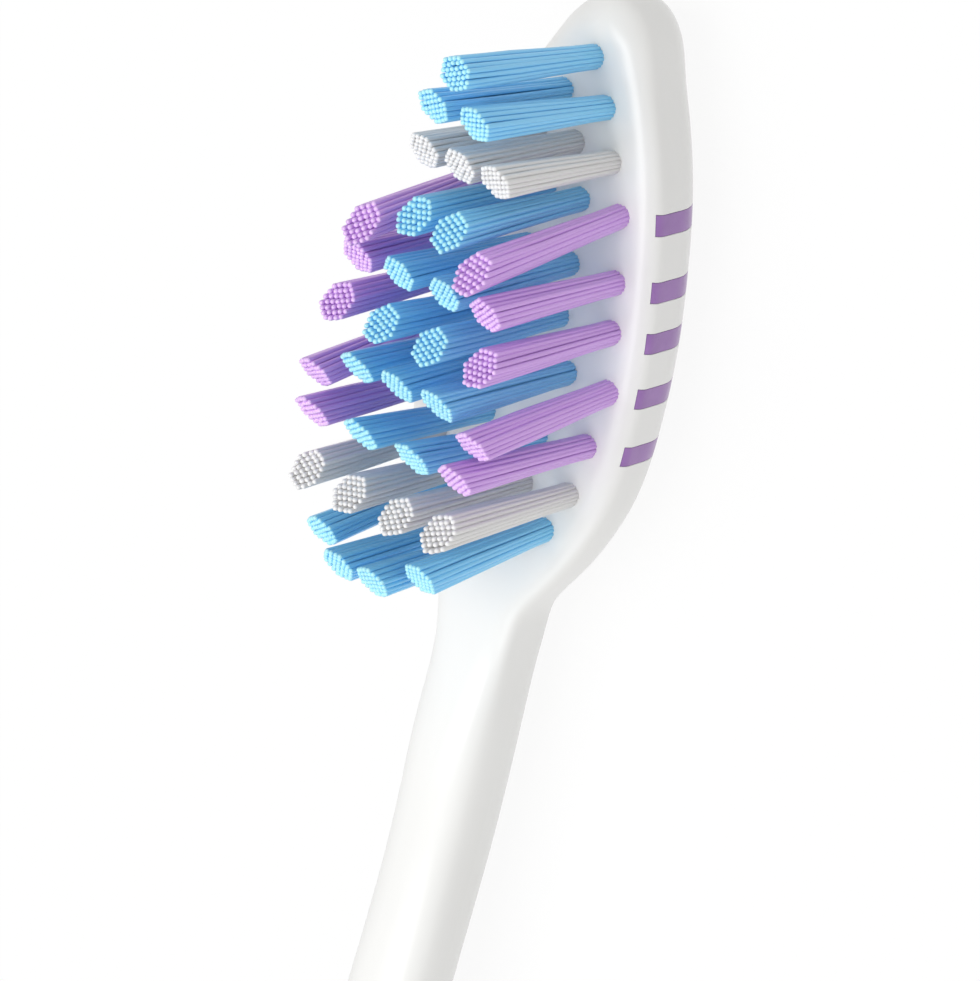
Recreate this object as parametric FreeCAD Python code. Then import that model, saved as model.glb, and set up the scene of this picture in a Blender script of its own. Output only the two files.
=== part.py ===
import FreeCAD, Part
import math
import os

# Manual toothbrush lying on its back, all lengths in millimetres.
# +Y runs towards the toe of the head, +Z is the way the bristles point, X = 0 is the middle plane.
# Z = 0 is the surface that the back of the handle rests on, Y = 0 is half of the brush's length.

# Whole brush
brush_length = 188.0
face_height = 7.6
rest_flat_sink = 0.15

# Head: its thickness is that of its middle, and the taper is the toe's thickness less the heel's
head_length = 34.6
head_width = 13.8
head_thickness = 5.4
head_taper = 0.65
rim_width = 1.0
rim_drop = 0.75
back_round_width = 3.2
back_round_height = 2.9

# Neck, grip and tail
neck_width = 4.6
neck_underside_drop = 4.6
neck_top_rise = 0.1
neck_root_depth = 5.0
grip_width = 12.6
grip_top_rise = 4.0
tail_round = 2.4

# Tufts and their holes
bristle_height = 11.0
tuft_root_diameter = 1.22
tuft_tip_diameter = 1.94
tuft_clearance = 0.05
hole_depth = 3.2
flute_count = 8
flute_depth_share = 0.09

# Anchor plates that hold the folded tufts, turned in degrees from straight across the head
anchor_turn = 60.0
anchor_thickness = 0.3
anchor_height = 1.4
anchor_bite = 0.15
anchor_clearance = 0.03
filament_loop = 0.25

# Soft ribs of the head
rib_width = 1.15
rib_depth = 0.45
rib_start_drop = 0.45
inlay_gap = 0.05

# Soft grips of the handle, each placed by its middle's distance from the toe
thumb_grip_place = 104.0
thumb_grip_length = 30.0
thumb_grip_width = 8.4
thumb_grip_depth = 1.1
thumb_grip_rise = 0.3
palm_grip_place = 136.0
palm_grip_length = 62.0
palm_grip_width = 5.6
palm_grip_depth = 1.2
grip_groove_width = 0.9
grip_groove_depth = 0.45
grip_groove_pitch = 4.2
thumb_groove_run = 19.0

# One overrun for every cut that has to reach past a surface
overrun = 2.0

# Flats that the round forms are drawn with: half of the head's outline, its rim and its back,
# half of a handle section, the steps along the handle and round its tail, and a tuft's hole
HEAD_FLATS = 24
RIM_FLATS = 3
BACK_FLATS = 5
HANDLE_FLATS = 12
HANDLE_STEPS = 27
TAIL_FLATS = 4
HOLE_FLATS = 12

# How far the flats of the head's outline gather at its toe and heel
FLATS_GATHERED_SHARE = 0.75

# Outline of the head: distance from the toe as a share of head_length,
# half width as a share of half of head_width
HEAD_OUTLINE_SHARES = [
    (0.030, 0.285),
    (0.085, 0.440),
    (0.165, 0.612),
    (0.262, 0.780),
    (0.370, 0.896),
    (0.500, 0.983),
    (0.630, 1.000),
    (0.735, 0.955),
    (0.820, 0.833),
    (0.890, 0.660),
    (0.945, 0.442),
    (0.985, 0.217),
]

# How boxy the corners of the handle's sections are
HANDLE_CORNER_SHARE = 0.82

# Stations of the neck and handle: place as a share of the run from the neck's root to the tail,
# width as a share of the way from neck_width to grip_width,
# underside as a share of the way from the neck's underside down to the rest surface,
# top as a share of the way from the neck's top up to the grip's top
HANDLE_SHARES = [
    (0.000, -0.04, 0.12, -0.06),
    (0.025, 0.00, 0.15, -0.06),
    (0.040, 0.04, 0.17, -0.09),
    (0.070, 0.03, 0.13, 0.03),
    (0.116, 0.03, 0.07, 0.09),
    (0.168, 0.045, -0.20, 0.26),
    (0.255, 0.16, -0.26, 0.56),
    (0.331, 0.47, 0.38, 0.80),
    (0.394, 0.82, 0.94, 0.97),
    (0.482, 1.00, 1.00, 1.00),
    (0.571, 0.90, 1.00, 0.83),
    (0.665, 0.82, 1.00, 0.72),
    (0.773, 0.92, 1.00, 0.72),
    (0.886, 0.82, 1.00, 0.54),
    (0.962, 0.66, 1.00, 0.36),
    (1.000, 0.54, 0.97, 0.24),
]

# Rows of tufts from toe to heel. Each entry of a row: half spacing as a share of half of head_width
# (0 is a single tuft in the middle), distance from the toe as a share of head_length,
# lean outwards and lean towards the toe and height as shares of bristle_height, colour.
# The row's first value is the rise of its cut ends towards the toe.
TUFT_ROW_SHARES = [
    (0.08, [(0.0, 0.092, 0.0, 0.064, 1.08, "blue")]),
    (0.60, [(0.196, 0.157, -0.005, 0.062, 1.02, "blue")]),
    (0.66, [(0.0, 0.225, 0.0, 0.013, 0.89, "white"), (0.347, 0.231, -0.012, 0.031, 0.89, "white")]),
    (-0.80, [(0.154, 0.303, 0.006, -0.004, 1.01, "blue"), (0.519, 0.303, -0.007, -0.110, 1.09, "purple")]),
    (0.74, [(0.190, 0.402, 0.013, 0.014, 0.99, "blue"), (0.612, 0.401, -0.013, 0.004, 0.99, "purple")]),
    (-0.76, [(0.198, 0.484, 0.017, 0.028, 1.03, "blue"), (0.673, 0.475, -0.006, 0.000, 1.01, "purple")]),
    (1.04, [(0.0, 0.556, 0.0, 0.000, 1.01, "blue"), (0.377, 0.562, -0.003, 0.017, 1.01, "blue"),
            (0.762, 0.564, -0.018, -0.090, 1.00, "purple")]),
    (1.04, [(0.250, 0.673, -0.005, 0.064, 0.99, "blue"), (0.688, 0.657, -0.012, 0.025, 1.02, "purple")]),
    (-0.78, [(0.216, 0.753, 0.002, 0.027, 1.00, "white"), (0.632, 0.740, -0.008, 0.007, 1.01, "white")]),
    (0.86, [(0.161, 0.853, 0.0, 0.000, 1.02, "blue"), (0.487, 0.809, -0.014, -0.063, 0.93, "blue")]),
]

# Places of the soft ribs as shares of head_length from the toe
RIB_PLACE_SHARES = [0.299, 0.398, 0.471, 0.555, 0.650]


def along(distance_from_toe):
    """Place on the brush's length axis for a distance from the toe."""
    return brush_length / 2 - distance_from_toe


def mix(first, last, share):
    """Value between first and last."""
    return first + (last - first) * share


def box_between(low, high):
    """Box from its lowest to its highest corner."""
    size = high - low
    return Part.makeBox(size.x, size.y, size.z, low)


def travelled(points):
    """Distance covered at each point of a chain, starting from zero."""
    travel = [0.0]
    for before, after in zip(points, points[1:]):
        travel.append(travel[-1] + math.dist(before, after))
    return travel


def smooth_through(points, travel):
    """Smooth curve through points, passing each at its distance travelled."""
    curve = Part.BSplineCurve()
    curve.interpolate(Points=points, Parameters=travel)
    return curve


def mirrored_outline(curve, places):
    """Closed outline of short flats through places on a right-hand curve and its mirror image."""
    right = [curve.value(place) for place in places]
    left = [FreeCAD.Vector(-point.x, point.y, point.z) for point in reversed(right[1:-1])]
    return Part.makePolygon(right + left + right[:1])


# Head

def head_outline():
    """Half outline of the head as distances from the toe and half widths, toe and heel included."""
    points = [(0, 0)]
    for place_share, width_share in HEAD_OUTLINE_SHARES:
        points.append((place_share * head_length, width_share * head_width / 2))
    points.append((head_length, 0))
    return points


def head_slice(inset, height, rise):
    """Slice of the head, drawn in from its outline by the inset and rising from toe to heel."""
    middle = head_length / 2
    across = (head_width / 2 - inset) / (head_width / 2)
    lengthwise = (middle - inset) / middle
    right = head_outline()
    left = [(distance, -half_width) for distance, half_width in reversed(right[1:-1])]
    chain = left + right + left
    points = []
    for distance, half_width in chain:
        y = along(middle + (distance - middle) * lengthwise)
        z = height + rise * (distance / head_length - 0.5)
        points.append(FreeCAD.Vector(half_width * across, y, z))
    travel = travelled(chain)
    toe_travel = travel[len(left)]
    heel_travel = travel[-len(left) - 1]
    places = []
    for step in range(HEAD_FLATS + 1):
        even = step / HEAD_FLATS
        gathered = (1 - math.cos(math.pi * even)) / 2
        places.append(mix(toe_travel, heel_travel, mix(even, gathered, FLATS_GATHERED_SHARE)))
    return mirrored_outline(smooth_through(points, travel), places)


def head_block(inset):
    """Head as a rounded block, drawn in all round by the inset."""
    straight_end = face_height - head_thickness + back_round_height
    slices = []
    for step in range(RIM_FLATS + 1):
        turn = math.radians(90) * step / RIM_FLATS
        edge_inset = rim_width * (1 - math.sin(turn))
        slices.append(head_slice(inset + edge_inset, face_height - rim_drop * (1 - math.cos(turn)), 0))
    for step in range(BACK_FLATS + 1):
        turn = math.radians(90) * step / BACK_FLATS
        edge_inset = back_round_width * (1 - math.cos(turn))
        height = straight_end - (back_round_height - inset) * math.sin(turn)
        slices.append(head_slice(inset + edge_inset, height, head_taper))
    return Part.makeLoft(slices, True, True)


# Neck and handle

def handle_section(y, half_width, low, high):
    """Upright section with full round corners, as an outline of short flats."""
    flat_x = half_width * HANDLE_CORNER_SHARE
    middle = (low + high) / 2
    side_z = (high - low) / 2 * HANDLE_CORNER_SHARE
    poles = [FreeCAD.Vector(0, y, low),
             FreeCAD.Vector(flat_x, y, low),
             FreeCAD.Vector(half_width, y, middle - side_z),
             FreeCAD.Vector(half_width, y, middle),
             FreeCAD.Vector(half_width, y, middle + side_z),
             FreeCAD.Vector(flat_x, y, high),
             FreeCAD.Vector(0, y, high)]
    curve = Part.BSplineCurve()
    curve.buildFromPolesMultsKnots(poles, [4, 1, 1, 1, 4], [0, 1, 2, 3, 4], False, 3)
    return mirrored_outline(curve, [4 * step / HANDLE_FLATS for step in range(HANDLE_FLATS + 1)])


def handle_bar(outset):
    """Neck and handle in one run of sections, grown all round by the outset, with a rounded tail."""
    start = head_length - neck_root_depth
    run = brush_length - start
    neck_low = face_height - neck_underside_drop
    neck_high = face_height + neck_top_rise
    swell = smooth_through([FreeCAD.Vector(station[1:]) for station in HANDLE_SHARES],
                           [station[0] for station in HANDLE_SHARES])
    straight = run - tail_round
    places = [(straight * step / HANDLE_STEPS, 0) for step in range(HANDLE_STEPS + 1)]
    for step in range(1, TAIL_FLATS + 1):
        turn = math.radians(90) * step / TAIL_FLATS
        places.append((straight + tail_round * math.sin(turn), tail_round * (1 - math.cos(turn))))
    sections = []
    for place, inset in places:
        shares = swell.value(place / run)
        half_width = mix(neck_width, grip_width, shares.x) / 2 + outset - inset
        low = mix(neck_low, -rest_flat_sink, shares.y) - outset + inset
        high = mix(neck_high, face_height + grip_top_rise, shares.z) + outset - inset
        sections.append(handle_section(along(start + place), half_width, low, high))
    return Part.makeLoft(sections, True, True)


# Soft inlays

def inlay_prism(length, width, middle_y, low, high):
    """Upright prism with round ends, used to mark out an inlay."""
    radius = width / 2
    straight = length / 2 - radius
    front = FreeCAD.Vector(radius, middle_y + straight, low)
    back = FreeCAD.Vector(radius, middle_y - straight, low)
    front_left = FreeCAD.Vector(-radius, middle_y + straight, low)
    back_left = FreeCAD.Vector(-radius, middle_y - straight, low)
    toe_end = FreeCAD.Vector(0, middle_y + length / 2, low)
    tail_end = FreeCAD.Vector(0, middle_y - length / 2, low)
    edges = [Part.LineSegment(back, front).toShape(),
             Part.Arc(front, toe_end, front_left).toShape(),
             Part.LineSegment(front_left, back_left).toShape(),
             Part.Arc(back_left, tail_end, back).toShape()]
    face = Part.Face(Part.Wire(edges))
    return face.extrude(FreeCAD.Vector(0, 0, high - low))


def grooves(length, width, middle_y, low, high):
    """Bars across a grip, cut out of it so that ribs stand between them."""
    count = int(length / grip_groove_pitch) - 1
    bars = []
    for number in range(count):
        y = middle_y + (number - (count - 1) / 2) * grip_groove_pitch
        corner = FreeCAD.Vector(-width / 2, y - grip_groove_width / 2, low)
        bars.append(box_between(corner, FreeCAD.Vector(width / 2, y + grip_groove_width / 2, high)))
    return Part.makeCompound(bars)


# Tufts

def tuft_places():
    """Every tuft as its name, its row, its root, its tip and the rise of its cut end."""
    places = []
    for row_number, (cut_rise, entries) in enumerate(TUFT_ROW_SHARES, start=1):
        row = []
        for side_share, place_share, out_share, toe_share, height_share, colour in entries:
            sides = (0,) if side_share == 0 else (-1, 1)
            for side in sides:
                x = side * side_share * head_width / 2
                root = FreeCAD.Vector(x, along(place_share * head_length), face_height)
                rise = FreeCAD.Vector(side * out_share, toe_share, height_share) * bristle_height
                row.append((x, root, rise, colour))
        row.sort(key=lambda entry: entry[0])
        for letter, (x, root, rise, colour) in zip("abcdefgh", row):
            name = "tuft_%02d%s_%s" % (row_number, letter, colour)
            places.append((name, row_number, root, root + rise, cut_rise))
    return places


def upright_placement(root, tip):
    """Placement that turns +Z along the tuft and moves the origin to its root."""
    turn = FreeCAD.Rotation(FreeCAD.Vector(0, 0, 1), tip - root)
    return FreeCAD.Placement(root, turn)


def flute_wire(radius, height):
    """Outline of a bundle: a ring of filaments that show as ridges and flutes."""
    points = []
    for number in range(2 * flute_count):
        reach = radius * (1 - flute_depth_share * (number % 2))
        angle = math.pi * number / flute_count
        points.append(FreeCAD.Vector(reach * math.cos(angle), reach * math.sin(angle), height))
    return Part.makePolygon(points + points[:1])


def hole_tool(root, tip):
    """Drill for one tuft, from the bottom of its hole to past the face, drawn with short flats."""
    radius = tuft_root_diameter / 2 + tuft_clearance
    points = []
    for number in range(HOLE_FLATS):
        angle = 2 * math.pi * number / HOLE_FLATS
        points.append(FreeCAD.Vector(radius * math.cos(angle), radius * math.sin(angle), -hole_depth))
    face = Part.Face(Part.makePolygon(points + points[:1]))
    tool = face.extrude(FreeCAD.Vector(0, 0, hole_depth + overrun))
    tool.Placement = upright_placement(root, tip)
    return tool


def anchor_plate(root, tip, clearance):
    """Flat metal plate that the tuft folds round, wider than the hole by its bite each side."""
    half_width = tuft_root_diameter / 2 + tuft_clearance + anchor_bite + clearance
    half_thickness = anchor_thickness / 2 + clearance
    low = -hole_depth + filament_loop - clearance
    high = -hole_depth + filament_loop + anchor_height + clearance
    plate = box_between(FreeCAD.Vector(-half_width, -half_thickness, low),
                        FreeCAD.Vector(half_width, half_thickness, high))
    turn = FreeCAD.Rotation(FreeCAD.Vector(0, 0, 1), anchor_turn)
    plate.Placement = upright_placement(root, tip).multiply(FreeCAD.Placement(FreeCAD.Vector(0, 0, 0), turn))
    return plate


def tuft(root, tip, cut_rise):
    """Folded bundle of filaments: straight in its hole, flared above, cut aslant at its tip."""
    length = (tip - root).Length
    root_radius = tuft_root_diameter / 2
    tip_radius = tuft_tip_diameter / 2
    spare = tip_radius * abs(cut_rise) + overrun / 2
    end_radius = mix(root_radius, tip_radius, (length + spare) / length)
    wires = [flute_wire(root_radius, -hole_depth + tuft_clearance),
             flute_wire(root_radius, 0),
             flute_wire(end_radius, length + spare)]
    bundle = Part.makeLoft(wires, True, True)
    bundle.Placement = upright_placement(root, tip)
    waste = box_between(FreeCAD.Vector(-bristle_height, -bristle_height, 0),
                        FreeCAD.Vector(bristle_height, bristle_height, bristle_height))
    slope = FreeCAD.Rotation(FreeCAD.Vector(1, 0, 0), math.degrees(math.atan(cut_rise)))
    waste.Placement = FreeCAD.Placement(tip, slope)
    return bundle.cut(waste).cut(anchor_plate(root, tip, anchor_clearance))


# Soft parts

def rib_band(place_share, gap):
    """Slab of the head that one rib runs in, widened by the gap."""
    middle_y = along(place_share * head_length)
    half = rib_width / 2 + gap
    low = FreeCAD.Vector(-head_width, middle_y - half, face_height - head_thickness - overrun)
    high = FreeCAD.Vector(head_width, middle_y + half, face_height - rib_start_drop + gap)
    return box_between(low, high)


def main():
    os.makedirs("parts", exist_ok=True)
    solids = {}
    places = tuft_places()

    # Head, neck and handle in one moulding
    head = head_block(0)
    rib_core = head_block(rib_depth)
    pocket_core = head_block(rib_depth + inlay_gap)
    bar = handle_bar(0)
    body = head.fuse(bar)
    floor = box_between(FreeCAD.Vector(-grip_width, -brush_length, -overrun),
                        FreeCAD.Vector(grip_width, brush_length, 0))
    body = body.cut(floor)

    # Soft ribs round the sides and back of the head, flush in their pockets
    for number, place_share in enumerate(RIB_PLACE_SHARES, start=1):
        solids["cleaner_rib_%d" % number] = head.common(rib_band(place_share, 0)).cut(rib_core)
        body = body.cut(rib_band(place_share, inlay_gap).cut(pocket_core))

    # Thumb grip on the front
    thumb_y = along(thumb_grip_place)
    top = face_height + grip_top_rise + overrun
    raised = handle_bar(thumb_grip_rise)
    thumb = inlay_prism(thumb_grip_length, thumb_grip_width, thumb_y, face_height, top).common(raised)
    thumb = thumb.cut(handle_bar(-thumb_grip_depth))
    bars = grooves(thumb_groove_run, thumb_grip_width * 2, thumb_y, face_height, top)
    thumb = thumb.cut(bars.cut(handle_bar(thumb_grip_rise - grip_groove_depth)))
    pocket = inlay_prism(thumb_grip_length + 2 * inlay_gap, thumb_grip_width + 2 * inlay_gap, thumb_y,
                         face_height, top)
    body = body.cut(pocket.cut(handle_bar(-thumb_grip_depth - inlay_gap)))
    solids["thumb_grip"] = thumb

    # Palm grip let into the flat of the back
    palm_y = along(palm_grip_place)
    palm = inlay_prism(palm_grip_length, palm_grip_width, palm_y, 0, palm_grip_depth)
    bars = grooves(palm_grip_length - palm_grip_width, palm_grip_width, palm_y, -overrun, grip_groove_depth)
    solids["palm_grip"] = palm.cut(bars)
    body = body.cut(inlay_prism(palm_grip_length + 2 * inlay_gap, palm_grip_width + 2 * inlay_gap, palm_y,
                                -overrun, palm_grip_depth + inlay_gap))

    # Tufts, their holes and the slots of their anchor plates
    tools = []
    anchors = {}
    for name, row, root, tip, cut_rise in places:
        tools.append(hole_tool(root, tip))
        tools.append(anchor_plate(root, tip, anchor_clearance))
        anchors.setdefault("anchors_row_%02d" % row, []).append(anchor_plate(root, tip, 0))
        solids[name] = tuft(root, tip, cut_rise)
    body = body.cut(Part.makeCompound(tools))
    for name, plates in anchors.items():
        solids[name] = Part.makeCompound(plates)
    solids["handle_body"] = body

    for name, shape in solids.items():
        shape.exportStep("parts/%s.step" % name)
        print(name, shape.isValid(), len(shape.Solids), round(shape.Volume, 2))


main()
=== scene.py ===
"""Manual toothbrush: smooth moulding, filament tufts, soft inlays and finishes on the frame."""

import logging
import math
import random
from dataclasses import dataclass, field
from enum import Enum
from typing import Callable, Sequence

import bmesh
import bpy
from mathutils import Matrix, Quaternion, Vector

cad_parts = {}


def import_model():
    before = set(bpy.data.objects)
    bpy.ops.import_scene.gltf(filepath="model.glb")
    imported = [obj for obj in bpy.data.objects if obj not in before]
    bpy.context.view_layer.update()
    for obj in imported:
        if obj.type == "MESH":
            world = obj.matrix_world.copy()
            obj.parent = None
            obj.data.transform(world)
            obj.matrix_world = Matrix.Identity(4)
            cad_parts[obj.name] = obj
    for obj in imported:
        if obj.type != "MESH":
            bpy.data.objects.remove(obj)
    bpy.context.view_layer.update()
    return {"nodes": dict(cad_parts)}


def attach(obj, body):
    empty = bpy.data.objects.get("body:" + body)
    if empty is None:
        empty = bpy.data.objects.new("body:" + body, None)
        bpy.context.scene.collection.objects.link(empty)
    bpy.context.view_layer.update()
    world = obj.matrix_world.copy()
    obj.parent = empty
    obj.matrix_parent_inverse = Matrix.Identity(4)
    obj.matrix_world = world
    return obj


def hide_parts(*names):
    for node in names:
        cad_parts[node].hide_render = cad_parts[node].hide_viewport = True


LOG = logging.getLogger("toothbrush")
MM = 0.001
ROOT_BODY = "root"

# Points of a sheet that are nearer than the first are merged, edges shorter than the second are
# dissolved, and points nearer to a plane than the third lie on it, in millimetres
MERGE_DISTANCE = 1e-4
SHORTEST_EDGE = 1e-5
ON_PLANE = 1e-6

# Sockets of a node that mixes colours: the two colours and the result
MIX_FIRST, MIX_LAST, MIX_RESULT = 6, 7, 2

Colour = tuple[float, float, float]
TuftShares = tuple[float, float, float, float, float, str]


class BristleColour(Enum):
    """Colours that a tuft's filaments come in."""

    BLUE = "blue"
    PURPLE = "purple"
    WHITE = "white"


class Joining(Enum):
    """Ways in which one solid is joined with another."""

    CUT = "DIFFERENCE"
    KEEP_COMMON = "INTERSECT"


# Curves and meshes


class SmoothTable:
    """Natural cubic spline through rows of a table, one value column at a time."""

    def __init__(self, places: Sequence[float], rows: Sequence[Sequence[float]]) -> None:
        """Solve the spline of each column.

        Args:
            places: rising place of each row.
            rows: values of each row.
        """
        self.places = list(places)
        self.rows = [list(row) for row in rows]
        self.bends = [self._bends_of(column) for column in zip(*self.rows)]

    def _bends_of(self, values: Sequence[float]) -> list[float]:
        """Second derivatives of one column.

        Args:
            values: the column's value at each place.

        Returns:
            Its second derivative at each place, zero at both ends.
        """
        count = len(self.places)
        upper = [0.0] * count
        right = [0.0] * count
        for i in range(1, count - 1):
            before = self.places[i] - self.places[i - 1]
            after = self.places[i + 1] - self.places[i]
            slope_before = (values[i] - values[i - 1]) / before
            slope_after = (values[i + 1] - values[i]) / after
            pivot = 2 * (before + after) - before * upper[i - 1]
            upper[i] = after / pivot
            right[i] = (6 * (slope_after - slope_before) - before * right[i - 1]) / pivot
        bends = [0.0] * count
        for i in range(count - 2, 0, -1):
            bends[i] = right[i] - upper[i] * bends[i + 1]
        return bends

    def at(self, place: float) -> list[float]:
        """Values at a place.

        Args:
            place: where to read the table.

        Returns:
            One value for each column.
        """
        i = 0
        while i < len(self.places) - 2 and place > self.places[i + 1]:
            i += 1
        low, high = self.places[i], self.places[i + 1]
        gap = high - low
        of_low = (high - place) / gap
        of_high = (place - low) / gap
        low_bend = of_low ** 3 - of_low
        high_bend = of_high ** 3 - of_high
        values = []
        for column, bends in enumerate(self.bends):
            straight = of_low * self.rows[i][column] + of_high * self.rows[i + 1][column]
            curved = (low_bend * bends[i] + high_bend * bends[i + 1]) * gap * gap / 6
            values.append(straight + curved)
        return values


def mix(first: float, last: float, share: float) -> float:
    """Value between first and last."""
    return first + (last - first) * share


def eased(value: float, low: float, high: float) -> float:
    """Smooth step from 0 at low to 1 at high.

    Args:
        value: the place that is asked for.
        low: place where the step starts.
        high: place where the step ends.

    Returns:
        A share from 0 to 1.
    """
    share = min(1.0, max(0.0, (value - low) / (high - low)))
    return share * share * (3 - 2 * share)


def object_of(name: str, bm: bmesh.types.BMesh, sharp_degrees: float = 35.0) -> bpy.types.Object:
    """Make a bmesh drawn in millimetres an object in metres, smooth but for its sharp edges.

    Args:
        name: the object's name.
        bm: the finished shape, which is freed.
        sharp_degrees: edges that turn more than this stay sharp.

    Returns:
        The linked object.
    """
    bmesh.ops.scale(bm, vec=(MM, MM, MM), verts=bm.verts)
    limit = math.radians(sharp_degrees)
    for face in bm.faces:
        face.smooth = True
    for edge in bm.edges:
        edge.smooth = len(edge.link_faces) == 2 and edge.calc_face_angle(0.0) < limit
    mesh = bpy.data.meshes.new(name)
    bm.to_mesh(mesh)
    bm.free()
    made = bpy.data.objects.new(name, mesh)
    bpy.context.scene.collection.objects.link(made)
    return made


def bmesh_of(made: bpy.types.Object) -> bmesh.types.BMesh:
    """Take an object's mesh back as a bmesh in millimetres and remove the object.

    Args:
        made: object whose mesh is wanted.

    Returns:
        The new bmesh.
    """
    bm = bmesh.new()
    bm.from_mesh(made.data)
    bmesh.ops.scale(bm, vec=(1 / MM, 1 / MM, 1 / MM), verts=bm.verts)
    bpy.data.objects.remove(made)
    return bm


def joined(target: bpy.types.Object, tool: bpy.types.Object,
           joining: Joining) -> bpy.types.Object:
    """Join one closed object with another and bake the result into a new mesh.

    Args:
        target: object that is changed.
        tool: object that changes it, which is removed.
        joining: how the two are joined.

    Returns:
        The target with its new mesh.
    """
    modifier = target.modifiers.new("joining", "BOOLEAN")
    modifier.operation = joining.value
    modifier.solver = "EXACT"
    modifier.object = tool
    evaluated = target.evaluated_get(bpy.context.evaluated_depsgraph_get())
    mesh = bpy.data.meshes.new_from_object(evaluated)
    target.modifiers.clear()
    target.data = mesh
    bpy.data.objects.remove(tool)
    return target


def finished(made: bpy.types.Object, material: bpy.types.Material, slot: str,
             *nodes: str) -> None:
    """Dress a piece, let it ride and let it stand for its CAD nodes.

    Args:
        made: the piece.
        material: its finish.
        slot: not used.
        nodes: CAD nodes that it stands for.
    """
    made.data.materials.clear()
    made.data.materials.append(material)
    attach(made, ROOT_BODY)
    if nodes:
        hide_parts(*nodes)
    LOG.info("%s: %d faces, stands for %s", made.name, len(made.data.polygons),
             ", ".join(nodes) or "nothing")


def shaped_grid(across: int, along: int,
                place: Callable[[float, float], Vector]) -> bmesh.types.BMesh:
    """Grid of faces whose corners are put in place by a rule, merged where they meet and closed.

    Args:
        across: faces in the first direction.
        along: faces in the second direction.
        place: rule from two shares, 0 to 1, to a point in millimetres.

    Returns:
        The closed form.
    """
    half = 0.5
    bm = bmesh.new()
    bmesh.ops.create_grid(bm, x_segments=across, y_segments=along, size=half)
    for vert in bm.verts:
        vert.co = place(vert.co.x + half, vert.co.y + half)
    bmesh.ops.remove_doubles(bm, verts=bm.verts, dist=MERGE_DISTANCE)
    bmesh.ops.dissolve_degenerate(bm, edges=bm.edges, dist=SHORTEST_EDGE)
    open_edges = [edge for edge in bm.edges if edge.is_boundary]
    if open_edges:
        bmesh.ops.holes_fill(bm, edges=open_edges, sides=0)
    bmesh.ops.recalc_face_normals(bm, faces=bm.faces)
    return bm


# Finishes


class Wiring:
    """Short way to add and link the nodes of one node tree."""

    def __init__(self, tree: bpy.types.NodeTree) -> None:
        """Start the tree empty.

        Args:
            tree: node tree of a material or of the world.
        """
        self.tree = tree
        self.tree.nodes.clear()

    def add(self, kind: str, **values: object) -> bpy.types.Node:
        """Add a node and set its properties and unlinked inputs.

        Args:
            kind: the node's type.
            values: properties by name, or input values with _ for a space.

        Returns:
            The node.
        """
        node = self.tree.nodes.new(kind)
        for name, value in values.items():
            if hasattr(node, name):
                setattr(node, name, value)
            else:
                node.inputs[name.replace("_", " ")].default_value = value
        return node

    def link(self, source: bpy.types.NodeSocket, target: bpy.types.NodeSocket) -> None:
        """Wire one socket to another."""
        self.tree.links.new(source, target)

    def seen_directly(self) -> bpy.types.NodeSocket:
        """Value that is 1 for camera, glossy and transmission rays and 0 for all others.

        Returns:
            The value's socket.
        """
        path = self.add("ShaderNodeLightPath")
        seen = path.outputs["Is Camera Ray"]
        for kind in ("Is Glossy Ray", "Is Transmission Ray"):
            either = self.add("ShaderNodeMath", operation="MAXIMUM")
            self.link(seen, either.inputs[0])
            self.link(path.outputs[kind], either.inputs[1])
            seen = either.outputs[0]
        return seen

    def mixed(self, share: bpy.types.NodeSocket, first: bpy.types.Node,
              last: bpy.types.Node) -> bpy.types.Node:
        """Mix two shaders.

        Args:
            share: how much of the last shows.
            first: shader that shows at a share of 0.
            last: shader that shows at a share of 1.

        Returns:
            The mixing node.
        """
        node = self.add("ShaderNodeMixShader")
        for source, target in zip((share, first.outputs[0], last.outputs[0]), node.inputs):
            self.link(source, target)
        return node


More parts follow.
